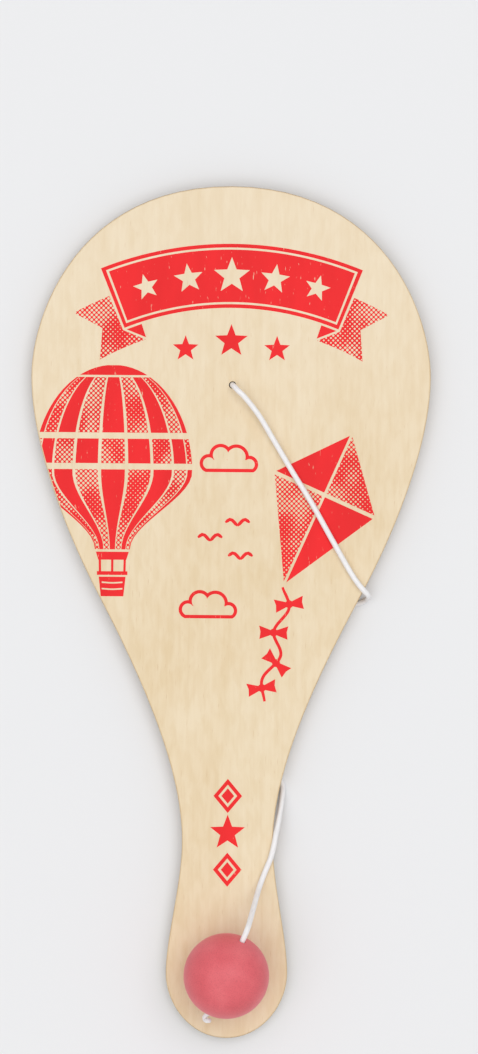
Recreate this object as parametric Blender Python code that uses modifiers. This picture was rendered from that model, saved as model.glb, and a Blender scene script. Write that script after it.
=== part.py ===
"""A wooden paddle ball: a plywood paddle and a rubber ball on an elastic.

The paddle lies face up. The elastic comes out of a hole in the head, crosses the face to the right edge,
makes a loop behind the paddle, comes back over the edge at the neck, and ends inside the ball, which rests
on the handle. Metres, +Z up, +Y towards the top of the head. The origin is under the middle of the paddle,
on the surface that it lies on.
"""

import math

import bmesh
import bpy
from mathutils import Matrix, Vector

# The paddle's outline: half widths, and where they are, from the handle's end
LENGTH = 0.2794
BULB_HALF, BULB_AT = 0.0199, 0.0213
NECK_HALF, NECK_AT = 0.0149, 0.0643
SHOULDER_HALF, SHOULDER_AT = 0.04315, 0.14545
SHOULDER_SLOPE = math.radians(62.0)
HEAD_HALF, HEAD_AT = 0.0655, 0.2169

# How far each stretch of the outline keeps to its tangent: the length of the curve's handles
END_REACH = 0.0121
BULB_REACH = (0.0100, 0.0117)
NECK_REACH = (0.0141, 0.0229)
SHOULDER_REACH = (0.0338, 0.0170)
HEAD_REACH = (0.0247, 0.0200)
TOP_REACH = 0.0508

# The three plies, and the rounding of the sanded edges
FRONT_PLY = 0.0013
CORE_PLY = 0.0022
BACK_PLY = 0.0013
SANDED = 0.0004

# The elastic, its stopper knots, the hole for it, and the room round a knot in the sink behind the hole
CORD_D = 0.0018
KNOT_D = 0.0050
HOLE_AT = (0.0005, 0.2142)
HOLE_SLACK = 0.0003
SINK_SLACK = 0.0004

# The ball, and the way its bore points: clockwise from +Y, and up
BALL_D = 0.0279
BALL_AT = (0.0, 0.0214)
BORE_TURN = math.radians(23.5)
BORE_TILT = math.radians(22.0)
BORE_SLACK = 0.0003
BALL_SINK_DEEP = 0.0036
END_OUT = 0.0004

# Pieces that touch keep this much apart, and the loop that the paddle lies on is this much flattened
GAP = 0.0003
FLATTENED = 0.1 * CORD_D

# The free stretch turns up off the face and then down into the bore: how far along each line it turns, and its bends
LEAD_CORNERS = (0.0038, 0.0035)
LEAD_BENDS = (0.0070, 0.0042)

# How the meshes are cut up
OUTLINE_STEPS = 24
HOLE_STEPS = 6
BALL_STEPS = 40
BALL_ARC_STEPS = 20
CORD_RUN = 3 * CORD_D
CORD_TURN = math.radians(20.0)
SPAN_STEPS = 24
LEAD_STEPS = 8
ROUND_STEPS = 3
KNOT_STEPS = 20
SHARP_EDGE = math.radians(35.0)

CORD_R = CORD_D / 2
BALL_R = BALL_D / 2
LOOP_Z = CORD_R - FLATTENED
BACK_Z = LOOP_Z + CORD_R + GAP
CORE_Z = BACK_Z + BACK_PLY
FRONT_Z = CORE_Z + CORE_PLY
FACE_Z = FRONT_Z + FRONT_PLY
HOLE_D = CORD_D + 2 * HOLE_SLACK
SINK_D = KNOT_D + 2 * SINK_SLACK
CORD_ON_FACE_Z = FACE_Z + GAP + CORD_R


def place(x, y, z):
    """A point given by its distance from the axis, from the handle's end and from the floor."""
    return Vector((x, y - LENGTH / 2, z))


# Where the elastic pivots when the ball is moved: first at the neck's rim, then where it leaves the face
RIM_PIVOT = place(0.0143, 0.0595, CORD_ON_FACE_Z)
LIFT_PIVOT = place(0.0125, 0.0549, CORD_ON_FACE_Z)

BALL_CENTRE = place(*BALL_AT, FACE_Z + GAP + BALL_R)
BORE = Vector(
    (
        math.sin(BORE_TURN) * math.cos(BORE_TILT),
        math.cos(BORE_TURN) * math.cos(BORE_TILT),
        math.sin(BORE_TILT),
    )
)
BALL_MOUTH = BALL_CENTRE + BORE * BALL_R

# The elastic out of the hole and over the face to the middle of the head's edge, as the photograph shows it:
# x, y from the handle's end, and its height over the place where it lies on the face
FACE_ROUTE = [
    (0.0007, 0.2140, 0.0008),
    (0.0013, 0.2134, 0.0021),
    (0.0024, 0.2122, 0.0027),
    (0.0046, 0.2101, 0.0026),
    (0.0092, 0.2043, 0.0018),
    (0.0139, 0.1966, 0.0008),
    (0.0204, 0.1858, 0.0002),
    (0.0267, 0.1757, 0.0),
    (0.0330, 0.1646, 0.0),
    (0.0391, 0.1540, 0.0),
    (0.0417, 0.1500, 0.0),
    (0.0438, 0.1474, 0.0),
    (0.0452, 0.1460, -0.0008),
    (0.0456, 0.1451, -0.0022),
    (0.0454, 0.1445, -0.0037),
]

# The elastic in its loop behind the paddle: x, y, and its height over the place where it lies on the floor
LOOP_ROUTE = [
    (0.0449, 0.1440, 0.0018),
    (0.0439, 0.1434, 0.0007),
    (0.0424, 0.1428, 0.0001),
    (0.0400, 0.1422, 0.0),
    (0.0340, 0.1415, 0.0),
    (0.0260, 0.1435, 0.0),
    (0.0180, 0.1500, 0.0),
    (0.0110, 0.1605, 0.0),
    (0.0030, 0.1715, 0.0),
    (-0.0090, 0.1785, 0.0),
    (-0.0220, 0.1755, 0.0),
    (-0.0310, 0.1645, 0.0),
    (-0.0335, 0.1490, 0.0),
    (-0.0300, 0.1320, 0.0),
    (-0.0215, 0.1160, 0.0),
    (-0.0100, 0.1030, 0.0),
    (0.0030, 0.0940, 0.0),
    (0.0120, 0.0885, 0.0),
    (0.0168, 0.0848, 0.0),
    (0.0180, 0.0822, 0.0003),
    (0.0178, 0.0785, 0.0017),
]

# The elastic up the neck's edge: x, y, and its height over the place where it lies on the face
NECK_ROUTE = [
    (0.0170, 0.0730, -0.0036),
    (0.0163, 0.0690, -0.0020),
    (0.0158, 0.0666, -0.0010),
    (0.0154, 0.0642, -0.0003),
]


def start_empty():
    for obj in list(bpy.data.objects):
        bpy.data.objects.remove(obj, do_unlink=True)
    for old in list(bpy.data.collections):
        bpy.data.collections.remove(old)
    made = []
    for name in ("paddle_ball", "cutters"):
        made.append(bpy.data.collections.new(name))
        bpy.context.scene.collection.children.link(made[-1])
    return made


def material(name, colour, roughness):
    mat = bpy.data.materials.new(name)
    mat.use_nodes = True
    surface = mat.node_tree.nodes["Principled BSDF"]
    surface.inputs["Base Color"].default_value = (*colour, 1.0)
    surface.inputs["Roughness"].default_value = roughness
    surface.inputs["Metallic"].default_value = 0.0
    mat.diffuse_color = (*colour, 1.0)
    return mat


def as_mesh(curve_object, collection):
    """The curve as a mesh object of the same name and place, with its caps welded on."""
    bpy.context.view_layer.update()
    evaluated = curve_object.evaluated_get(bpy.context.evaluated_depsgraph_get())
    mesh = bpy.data.meshes.new_from_object(evaluated)
    name, where = curve_object.name, curve_object.matrix_world.copy()
    bpy.data.objects.remove(curve_object, do_unlink=True)
    made = bpy.data.objects.new(name, mesh)
    made.matrix_world = where
    collection.objects.link(made)
    work = bmesh.new()
    work.from_mesh(mesh)
    bmesh.ops.remove_doubles(work, verts=work.verts, dist=1e-6)
    bmesh.ops.recalc_face_normals(work, faces=work.faces)
    work.to_mesh(mesh)
    work.free()
    mesh.shade_smooth()
    mesh.set_sharp_from_angle(angle=SHARP_EDGE)
    return made


def outline_points():
    """(point, the way the outline runs there, reach before, reach after), up the right side and down the left."""
    up, right = Vector((0, 1, 0)), Vector((1, 0, 0))
    slope = Vector((math.cos(SHOULDER_SLOPE), math.sin(SHOULDER_SLOPE), 0))
    end = (place(0, 0, 0), right, END_REACH, END_REACH)
    top = (place(0, LENGTH, 0), -right, TOP_REACH, TOP_REACH)
    side = [
        (place(BULB_HALF, BULB_AT, 0), up, *BULB_REACH),
        (place(NECK_HALF, NECK_AT, 0), up, *NECK_REACH),
        (place(SHOULDER_HALF, SHOULDER_AT, 0), slope, *SHOULDER_REACH),
        (place(HEAD_HALF, HEAD_AT, 0), up, *HEAD_REACH),
    ]
    mirror = Matrix.Diagonal((-1, 1, 1, 1))
    other = [(mirror @ p, -(mirror @ t), after, before) for p, t, before, after in reversed(side)]
    return [end, *side, top, *other]


def add_outline(data):
    spline = data.splines.new("BEZIER")
    points = outline_points()
    spline.bezier_points.add(len(points) - 1)
    for bezier, (point, along, before, after) in zip(spline.bezier_points, points, strict=True):
        bezier.co = point
        bezier.handle_left = point - along * before
        bezier.handle_right = point + along * after
    spline.use_cyclic_u = True
    spline.resolution_u = OUTLINE_STEPS


def add_circle(data, centre, radius):
    """A circle from four points, whose handles are the usual share of its radius."""
    reach = radius * 4 / 3 * math.tan(math.pi / 8)
    spline = data.splines.new("BEZIER")
    spline.bezier_points.add(3)
    for quarter, bezier in enumerate(spline.bezier_points):
        turn = quarter * math.pi / 2
        out = Vector((math.cos(turn), math.sin(turn), 0))
        along = Vector((-out.y, out.x, 0))
        bezier.co = centre + out * radius
        bezier.handle_left = bezier.co - along * reach
        bezier.handle_right = bezier.co + along * reach
    spline.use_cyclic_u = True
    spline.resolution_u = HOLE_STEPS


def ply(name, low_z, thickness, hole_d, mat, collection):
    """One layer of the plywood: the paddle's outline with the elastic's hole in it."""
    data = bpy.data.curves.new(name, "CURVE")
    data.dimensions = "2D"
    data.fill_mode = "BOTH"
    data.extrude = thickness / 2
    add_outline(data)
    add_circle(data, place(*HOLE_AT, 0), hole_d / 2)
    data.materials.append(mat)
    layer = bpy.data.objects.new(name, data)
    layer.location.z = low_z + thickness / 2
    collection.objects.link(layer)
    return as_mesh(layer, collection)


def sand(layer, side):
    """Rounds the outer edge of a ply on one side: 1 is the upper side and -1 the lower."""
    work = bmesh.new()
    work.from_mesh(layer.data)
    level = max(side * v.co.z for v in work.verts)
    hole = place(*HOLE_AT, 0)
    rim = [
        e
        for e in work.edges
        if all(abs(side * v.co.z - level) < 1e-6 for v in e.verts)
        and (e.verts[0].co.xy - hole.xy).length > SINK_D
        and len({round(abs(f.normal.z)) for f in e.link_faces}) == 2
    ]
    bmesh.ops.bevel(work, geom=rim, offset=SANDED, segments=2, profile=0.5, affect="EDGES")
    work.to_mesh(layer.data)
    work.free()


def divide_at_neck(layer):
    """Cuts the ply's faces along the neck, so that the handle's flat back is a face of its own."""
    work = bmesh.new()
    work.from_mesh(layer.data)
    bmesh.ops.bisect_plane(
        work,
        geom=[*work.verts, *work.edges, *work.faces],
        plane_co=place(0, NECK_AT, 0),
        plane_no=(0, 1, 0),
        dist=1e-6,
    )
    work.to_mesh(layer.data)
    work.free()


def smooth(points):
    """A smooth curve through the points, in short steps."""
    ends = [points[0] * 2 - points[1], *points, points[-1] * 2 - points[-2]]
    curve = []
    for before, a, b, after in zip(ends, ends[1:], ends[2:], ends[3:], strict=False):
        for k in range(SPAN_STEPS):
            t = k / SPAN_STEPS
            straight = 2 * a + (b - before) * t
            bend = (2 * before - 5 * a + 4 * b - after) * t**2
            twist = (3 * a - before - 3 * b + after) * t**3
            curve.append((straight + bend + twist) / 2)
    return [*curve, points[-1]]


def thinned(curve):
    """The curve's points that a tube needs: more where it turns, fewer where it runs straight."""
    kept, run, turn = [curve[0]], 0.0, 0.0
    for before, here, after in zip(curve, curve[1:], curve[2:], strict=False):
        run += (here - before).length
        turn += (here - before).angle(after - here, 0.0)
        if run > CORD_RUN or turn > CORD_TURN:
            kept.append(here)
            run, turn = 0.0, 0.0
    if len(kept) > 1 and (kept[-1] - curve[-1]).length < CORD_R:
        kept.pop()
    return [*kept, curve[-1]]


def cord(name, points, mat, collection, shares=None):
    """The elastic along points, as thick all along as it is, times shares where they are given."""
    data = bpy.data.curves.new(name, "CURVE")
    data.dimensions = "3D"
    data.bevel_depth = CORD_R
    data.bevel_resolution = 2
    data.use_fill_caps = True
    spline = data.splines.new("POLY")
    spline.points.add(len(points) - 1)
    for k, (at, point) in enumerate(zip(spline.points, points, strict=True)):
        at.co = (*point, 1.0)
        at.radius = shares[k] if shares else 1.0
    data.materials.append(mat)
    made = bpy.data.objects.new(name, data)
    collection.objects.link(made)
    return made


def route_length(points):
    return sum((b - a).length for a, b in zip(points, points[1:], strict=False))


def wrapped_route():
    """The elastic from its knot, over the face, round behind and up to the neck's rim, in its two nodes' parts.

    They meet at the middle of the head's edge, where the first list of points ends.
    """
    knot_top = place(*HOLE_AT, CORE_Z)
    hole_top = place(*HOLE_AT, FACE_Z + GAP)
    face = [place(x, y, CORD_ON_FACE_Z + h) for x, y, h in FACE_ROUTE]
    loop = [place(x, y, LOOP_Z + h) for x, y, h in LOOP_ROUTE]
    neck = [place(x, y, CORD_ON_FACE_Z + h) for x, y, h in NECK_ROUTE]
    rim = RIM_PIVOT + (neck[-1] - RIM_PIVOT).normalized() * (CORD_R + GAP)
    before = [knot_top, hole_top, *face]
    curve = smooth([*before, *loop, *neck, rim])
    middle = SPAN_STEPS * (len(before) - 1)
    meeting = curve[middle]
    along = (curve[middle + 1] - curve[middle - 1]).normalized() * GAP / 2
    first = [point for point in curve[:middle] if (point - meeting).length > GAP]
    second = [point for point in curve[middle:] if (point - meeting).length > GAP]
    return thinned([*first, meeting - along]), thinned([meeting + along, *second])


def rounded(before, corner, after, radius):
    """A bend of this radius in place of a corner."""
    first, second = (corner - before).normalized(), (after - corner).normalized()
    turn = first.angle(second)
    back, reach = radius * math.tan(turn / 2), radius * 4 / 3 * math.tan(turn / 4)
    low, high = corner - first * back, corner + second * back
    pull_low, pull_high = low + first * reach, high - second * reach
    points = []
    for k in range(LEAD_STEPS + 1):
        t = k / LEAD_STEPS
        s = 1 - t
        points.append(low * s**3 + pull_low * 3 * s * s * t + pull_high * 3 * s * t * t + high * t**3)
    return points


def lead_route():
    """From the face to the ball: it leaves the face flat, rises, and goes into the bore in line with it."""
    along = (LIFT_PIVOT - RIM_PIVOT).normalized()
    start = LIFT_PIVOT + along * (CORD_R + GAP)
    end = BALL_MOUTH + BORE * (END_OUT + GAP)
    low, high = start + along * LEAD_CORNERS[0], end + BORE * LEAD_CORNERS[1]
    up, down = rounded(start, low, high, LEAD_BENDS[0]), rounded(low, high, end, LEAD_BENDS[1])
    return [start, *up, *down, end]


def cord_turned_by_pivots(mat, collection):
    """The short stretch on the face between the two pivots, with a round end on each."""
    along = (LIFT_PIVOT - RIM_PIVOT).normalized()
    turns = [math.pi / 2 * (k + 0.5) / ROUND_STEPS for k in range(ROUND_STEPS)]
    low = [(RIM_PIVOT - along * (CORD_R * math.cos(t)), math.sin(t)) for t in turns]
    high = [(LIFT_PIVOT + along * (CORD_R * math.cos(t)), math.sin(t)) for t in reversed(turns)]
    rings = [*low, (RIM_PIVOT, 1.0), (LIFT_PIVOT, 1.0), *high]
    cord("elastic_rim_bend", [at for at, _ in rings], mat, collection, [share for _, share in rings])


def flatten_under(loop, cutters):
    """Cuts the underside of the loop flat where it lies on the floor."""
    bpy.ops.mesh.primitive_cube_add(size=1.0, location=(0, 0, -CORD_D))
    floor = bpy.context.object
    floor.name = "floor_cutter"
    floor.scale = (4 * HEAD_HALF, 2 * LENGTH, 2 * CORD_D)
    bpy.ops.object.transform_apply(location=False, rotation=False, scale=True)
    for holder in list(floor.users_collection):
        holder.objects.unlink(floor)
    cutters.objects.link(floor)
    floor.hide_render = True
    floor.display_type = "WIRE"
    cut = loop.modifiers.new("flattened_under", "BOOLEAN")
    cut.operation = "DIFFERENCE"
    cut.object = floor


def turned(name, profile, centre, axis, steps, mat, collection):
    """A profile of (radius, height) turned about axis. It starts and ends on the axis, or closes on itself."""
    count = len(profile)
    ring = profile[0][0] > 0
    edges = [(k, (k + 1) % count) for k in range(count if ring else count - 1)]
    mesh = bpy.data.meshes.new(name)
    mesh.from_pydata([(radius, 0.0, height) for radius, height in profile], edges, [])
    mesh.materials.append(mat)
    made = bpy.data.objects.new(name, mesh)
    made.location = centre
    made.rotation_euler = axis.to_track_quat("Z", "Y").to_euler()
    collection.objects.link(made)
    screw = made.modifiers.new("turned", "SCREW")
    screw.angle = 2 * math.pi
    screw.steps = steps
    screw.render_steps = steps
    screw.use_merge_vertices = True
    screw.merge_threshold = 1e-6
    screw.use_smooth_shade = True


def knot(name, centre, axis, height, mat, collection):
    """A stopper knot's outer shape: a small round pad, flatter than it is wide."""
    half = height / 2
    turns = [2 * math.pi * k / KNOT_STEPS for k in range(1, KNOT_STEPS // 2)]
    side = [(KNOT_D / 2 * math.sin(t), half * math.cos(t)) for t in turns]
    turned(name, [(0.0, half), *side, (0.0, -half)], centre, axis, KNOT_STEPS, mat, collection)


def paddle(collection):
    """Three plies glued face to face, with the elastic's hole and the sink behind it for the knot."""
    birch = material("birch_veneer", (0.86, 0.72, 0.50), 0.45)
    inner = material("core_veneer", (0.62, 0.44, 0.27), 0.60)
    back = ply("paddle_back_ply", BACK_Z, BACK_PLY, SINK_D, birch, collection)
    ply("paddle_core_ply", CORE_Z, CORE_PLY, HOLE_D, inner, collection)
    front = ply("paddle_front_ply", FRONT_Z, FRONT_PLY, HOLE_D, birch, collection)
    sand(front, 1)
    sand(back, -1)
    divide_at_neck(back)


def wrapped_elastic(mat, parts, cutters):
    """The elastic that stays on the paddle, with the knot that holds it under its hole."""
    height = CORE_Z - 2 * GAP
    knot("anchor_knot", place(*HOLE_AT, GAP + height / 2), Vector((0, 0, 1)), height, mat, parts)
    front, back = wrapped_route()
    cord("elastic_front_run", front, mat, parts)
    flatten_under(as_mesh(cord("elastic_back_loop", back, mat, parts), parts), cutters)
    return {"front run": front, "back loop": back}


def free_elastic(mat, collection):
    """The elastic from the neck's rim into the ball, with its knot in the ball's sink."""
    cord_turned_by_pivots(mat, collection)
    lead = lead_route()
    cord("elastic_lead", lead, mat, collection)
    sink = BALL_CENTRE - BORE * (BALL_R - BALL_SINK_DEEP)
    height = BALL_SINK_DEEP - 2 * GAP
    knot("ball_knot", sink - BORE * (GAP + height / 2), BORE, height, mat, collection)
    end = [sink, sink.lerp(BALL_MOUTH, 0.5), BALL_MOUTH + BORE * END_OUT]
    cord("elastic_ball_end", end, mat, collection)
    return {"rim bend": [RIM_PIVOT, LIFT_PIVOT], "lead": lead, "in the ball": end}


def ball(collection):
    """The rubber ball, turned about its bore, with the sink for the knot at the bore's far end."""
    rubber = material("red_rubber", (0.66, 0.08, 0.11), 0.60)
    bore_r = CORD_R + BORE_SLACK
    sink_r = KNOT_D / 2 + BORE_SLACK
    first = math.asin(bore_r / BALL_R)
    last = math.pi - math.asin(sink_r / BALL_R)
    turns = [first + (last - first) * k / BALL_ARC_STEPS for k in range(BALL_ARC_STEPS + 1)]
    outside = [(BALL_R * math.sin(t), BALL_R * math.cos(t)) for t in turns]
    sink_z = BALL_SINK_DEEP - BALL_R
    inside = [(sink_r, sink_z), (bore_r, sink_z)]
    turned("ball", outside + inside, BALL_CENTRE, BORE, BALL_STEPS, rubber, collection)


def build():
    parts, cutters = start_empty()
    paddle(parts)
    elastic = material("white_elastic", (0.88, 0.88, 0.88), 0.50)
    runs = wrapped_elastic(elastic, parts, cutters) | free_elastic(elastic, parts)
    ball(parts)
    lengths = {name: route_length(route) for name, route in runs.items()}
    for name, length in lengths.items():
        print(f"{name}: {length * 1000:.1f} mm")
    print(f"elastic in all: {sum(lengths.values()) * 1000:.1f} mm")
    for name, point in {
        "rim pivot": RIM_PIVOT,
        "lift pivot": LIFT_PIVOT,
        "lead's end": runs["lead"][-1],
        "ball's centre": BALL_CENTRE,
        "bore": BORE,
    }.items():
        print(f"{name}: {[round(value, 6) for value in point]}")


build()
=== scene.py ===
"""A wooden paddle ball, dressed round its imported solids.

The plies keep their solids. The elastic, its two knots and the ball are made again in finer form, and the
face gets its print. Lengths are in metres, and the print's points in millimetres. A point on the paddle is
given by its distance from the axis and from the handle's end, as in the part's source, and place() turns it
into the frame's.
"""

import math

import bmesh
import bpy
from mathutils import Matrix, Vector

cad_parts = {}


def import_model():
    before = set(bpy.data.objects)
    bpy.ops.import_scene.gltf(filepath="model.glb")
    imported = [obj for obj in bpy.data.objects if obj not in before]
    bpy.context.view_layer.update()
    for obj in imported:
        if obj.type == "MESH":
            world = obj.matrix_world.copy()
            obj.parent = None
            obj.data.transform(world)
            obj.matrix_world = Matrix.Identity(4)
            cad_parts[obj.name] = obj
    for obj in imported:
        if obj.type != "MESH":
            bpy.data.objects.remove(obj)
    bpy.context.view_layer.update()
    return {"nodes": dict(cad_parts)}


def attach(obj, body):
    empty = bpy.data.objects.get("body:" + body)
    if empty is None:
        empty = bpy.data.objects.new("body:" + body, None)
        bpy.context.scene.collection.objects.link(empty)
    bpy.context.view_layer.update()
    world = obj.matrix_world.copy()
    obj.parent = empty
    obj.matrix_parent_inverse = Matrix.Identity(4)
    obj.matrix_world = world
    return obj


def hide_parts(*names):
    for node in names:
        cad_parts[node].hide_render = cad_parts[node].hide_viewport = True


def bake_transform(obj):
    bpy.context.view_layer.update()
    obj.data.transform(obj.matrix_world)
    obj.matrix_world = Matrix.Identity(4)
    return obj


# The paddle: its length, the heights of its face and of the core's two sides, and its hole
LENGTH = 0.2794
FACE_Z = 0.00672
CORE_Z = 0.00322
FRONT_Z = 0.00542
HOLE_AT = (0.0005, 0.2142)

# The elastic: its thickness, its room beside wood and rubber, and how high its middle lies on the floor,
# where it is pressed a little flat, and on the face
CORD_D = 0.0018
CORD_R = CORD_D / 2
GAP = 0.0003
LOOP_Z = CORD_R - 0.1 * CORD_D
CORD_ON_FACE_Z = FACE_Z + GAP + CORD_R

# Where it leaves the neck and nears the ball: how far on its two corners lie, and the radius of each bend
LEAD_CORNERS = (0.0038, 0.0035)
LEAD_BENDS = (0.0070, 0.0042)

# Its stopper knots: their size, the radius of a tight strand and of the tail, and where each knot sits
KNOT_WIDE = 0.0050
KNOT_TALL = 0.0026
KNOT_STRAND_R = 0.00066
KNOT_TAIL_R = 0.00078
KNOT_BEHIND_Z = GAP + 0.00131
KNOT_OFF_CENTRE = 0.01215

# The ball: its sink for the knot, how far out of it the elastic's end begins, and how its bore lies
BALL_R = 0.01395
SINK_R = 0.0028
SINK_DEEP = 0.0036
END_OUT = 0.0004
BORE_TURN = math.radians(23.5)
BORE_TILT = math.radians(22.0)

# The elastic's way over the face to the head's edge: x, y from the handle's end, height over where it lies
FACE_ROUTE = [
    (0.0007, 0.2140, 0.0008),
    (0.0013, 0.2134, 0.0021),
    (0.0024, 0.2122, 0.0027),
    (0.0046, 0.2101, 0.0026),
    (0.0092, 0.2043, 0.0018),
    (0.0139, 0.1966, 0.0008),
    (0.0204, 0.1858, 0.0002),
    (0.0267, 0.1757, 0.0),
    (0.0330, 0.1646, 0.0),
    (0.0391, 0.1540, 0.0),
    (0.0417, 0.1500, 0.0),
    (0.0438, 0.1474, 0.0),
    (0.0452, 0.1460, -0.0008),
    (0.0456, 0.1451, -0.0022),
    (0.0454, 0.1445, -0.0037),
]

# Its loop behind the paddle, with heights over where it lies on the floor
LOOP_ROUTE = [
    (0.0449, 0.1440, 0.0018),
    (0.0439, 0.1434, 0.0007),
    (0.0424, 0.1428, 0.0001),
    (0.0400, 0.1422, 0.0),
    (0.0340, 0.1415, 0.0),
    (0.0260, 0.1435, 0.0),
    (0.0180, 0.1500, 0.0),
    (0.0110, 0.1605, 0.0),
    (0.0030, 0.1715, 0.0),
    (-0.0090, 0.1785, 0.0),
    (-0.0220, 0.1755, 0.0),
    (-0.0310, 0.1645, 0.0),
    (-0.0335, 0.1490, 0.0),
    (-0.0300, 0.1320, 0.0),
    (-0.0215, 0.1160, 0.0),
    (-0.0100, 0.1030, 0.0),
    (0.0030, 0.0940, 0.0),
    (0.0120, 0.0885, 0.0),
    (0.0168, 0.0848, 0.0),
    (0.0180, 0.0822, 0.0003),
    (0.0178, 0.0785, 0.0017),
]

# Its way up the neck's edge, with heights over where it lies on the face
NECK_ROUTE = [
    (0.0170, 0.0730, -0.0036),
    (0.0163, 0.0690, -0.0020),
    (0.0158, 0.0666, -0.0010),
    (0.0154, 0.0642, -0.0003),
]


def place(x, y, z):
    """A point given by its distance from the axis, from the handle's end and from the floor."""
    return Vector((x, y - LENGTH / 2, z))


RIM_PIVOT = place(0.0143, 0.0595, CORD_ON_FACE_Z)
LIFT_PIVOT = place(0.0125, 0.0549, CORD_ON_FACE_Z)
BALL_CENTRE = place(0.0, 0.0214, FACE_Z + GAP + BALL_R)
BORE = Vector(
    (
        math.sin(BORE_TURN) * math.cos(BORE_TILT),
        math.cos(BORE_TURN) * math.cos(BORE_TILT),
        math.sin(BORE_TILT),
    )
)
BALL_MOUTH = BALL_CENTRE + BORE * BALL_R
SINK_FLOOR = BALL_CENTRE - BORE * (BALL_R - SINK_DEEP)


# Working on one object at a time


def take(obj):
    """Leaves only this object selected, and makes it the active one."""
    bpy.ops.object.select_all(action="DESELECT")
    obj.select_set(True)
    bpy.context.view_layer.objects.active = obj


def added(name):
    """Names the object that an operator has just made."""
    obj = bpy.context.object
    obj.name = name
    obj.data.name = name
    return obj


def pick(kind, test):
    """In edit mode, selects the verts, edges or faces for which the test holds."""
    mesh = bpy.context.object.data
    work = bmesh.from_edit_mesh(mesh)
    bpy.context.tool_settings.mesh_select_mode = (kind == "verts", kind == "edges", kind == "faces")
    bpy.ops.mesh.select_all(action="DESELECT")
    for part in getattr(work, kind):
        if test(part):
            part.select_set(True)
    work.select_flush_mode()
    bmesh.update_edit_mesh(mesh)


def settle(obj, place_it=True):
    """Puts the object's place, turn and size into its mesh, with every face outwards."""
    take(obj)
    if place_it:
        bpy.ops.object.transform_apply(location=True, rotation=True, scale=True)
    bpy.ops.object.mode_set(mode="EDIT")
    bpy.ops.mesh.select_all(action="SELECT")
    bpy.ops.mesh.remove_doubles(threshold=1e-6)
    bpy.ops.mesh.normals_make_consistent(inside=False)
    bpy.ops.object.mode_set(mode="OBJECT")


def dress(obj, mat, sharp=35.0):
    """Gives the object its material, and smooth shading up to an angle in degrees."""
    obj.data.materials.clear()
    obj.data.materials.append(mat)
    take(obj)
    bpy.ops.object.shade_smooth_by_angle(angle=math.radians(sharp))


# The camera, the floor and the light


def camera_over_the_face():
    """Straight down on the face with a long lens, half a degree off square, as the picture was taken."""
    # What the picture takes in along its longer side, and the lens
    long_side = 0.3457
    lens = 208.0
    data = bpy.data.cameras.new("camera")
    data.sensor_width = 36.0
    data.lens = lens
    cam = bpy.data.objects.new("camera", data)
    height = FACE_Z + long_side * lens / data.sensor_width
    cam.location = (0.00298, 0.02794, height)
    cam.rotation_euler = (0.0, 0.0, math.radians(0.45))
    data.clip_start = 0.05
    data.clip_end = 20.0
    bpy.context.scene.collection.objects.link(cam)
    bpy.context.scene.camera = cam


def soft_light(name, where, spread, strength):
    """Broad light from one side, even all over the floor, so many degrees across as the paddle sees it."""
    data = bpy.data.lights.new(name, "SUN")
    data.angle = math.radians(spread)
    data.energy = strength
    lamp = bpy.data.objects.new(name, data)
    lamp.location = where
    lamp.rotation_euler = Vector(where).to_track_quat("Z", "Y").to_euler()
    bpy.context.scene.collection.objects.link(lamp)


def studio():
    """A pale even sky, and three broad lights: one over the paddle and a weaker one from each side."""
    world = bpy.data.worlds.new("studio")
    world.use_nodes = True
    sky = world.node_tree.nodes["Background"]
    sky.inputs["Color"].default_value = (0.98, 0.99, 1.0, 1.0)
    sky.inputs["Strength"].default_value = 0.54
    bpy.context.scene.world = world
    bpy.context.scene.view_settings.view_transform = "Standard"
    soft_light("overhead", (0.0, 0.0, 1.20), 70.0, 0.80)
    soft_light("key", (0.32, 0.36, 1.10), 40.0, 0.46)
    soft_light("fill", (-0.42, -0.36, 1.00), 50.0, 0.36)


# Materials

# The dried glue between the plies, and how many halftone dots there are to a metre
GLUE = "5F4328"
DOTS_A_METRE = 910


def linear(code):
    """A colour given as an sRGB hex code, in the linear values that the nodes take."""
    parts = [int(code[k : k + 2], 16) / 255 for k in (0, 2, 4)]
    return (*[c / 12.92 if c <= 0.04045 else ((c + 0.055) / 1.055) ** 2.4 for c in parts], 1.0)


def add(tree, kind, links=None, stops=(), **settings):
    """One node with its settings.

    A link is another node's socket, a plain value or a hex colour. A colour ramp's stops are places, each
    with a hex colour, or with a number for a grey.
    """
    made = tree.nodes.new(kind)
    for name, value in settings.items():
        setattr(made, name, value)
    for socket, value in (links or {}).items():
        if isinstance(value, bpy.types.NodeSocket):
            tree.links.new(value, made.inputs[socket])
        else:
            made.inputs[socket].default_value = linear(value) if isinstance(value, str) else value
    if stops:
        points = made.color_ramp.elements
        while len(points) < len(stops):
            points.new(0.5)
        for point, (at, colour) in zip(points, stops, strict=True):
            point.position = at
            point.color = linear(colour) if isinstance(colour, str) else (colour, colour, colour, 1.0)
    return made


def new_material(name):
    """A material, with its node tree and the shader that its patterns go to."""
    mat = bpy.data.materials.new(name)
    mat.use_nodes = True
    tree = mat.node_tree
    return mat, tree, tree.nodes["Principled BSDF"]


def grained(tree, across_mm, along_mm, detail=2.0, roughness=0.5, warp=0.0):
    """Noise whose grains are so many millimetres across the paddle and along it."""
    where = add(tree, "ShaderNodeTexCoord").outputs["Object"]
    scaled = add(
        tree,
        "ShaderNodeMapping",
        {"Vector": where, "Scale": (1000 / across_mm, 1000 / along_mm, 1000 / across_mm)},
    )
    noise = add(
        tree,
        "ShaderNodeTexNoise",
        {
            "Vector": scaled.outputs["Vector"],
            "Scale": 1.0,
            "Detail": detail,
            "Roughness": roughness,
            "Distortion": warp,
        },
    )
    return noise.outputs["Fac"]


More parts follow.
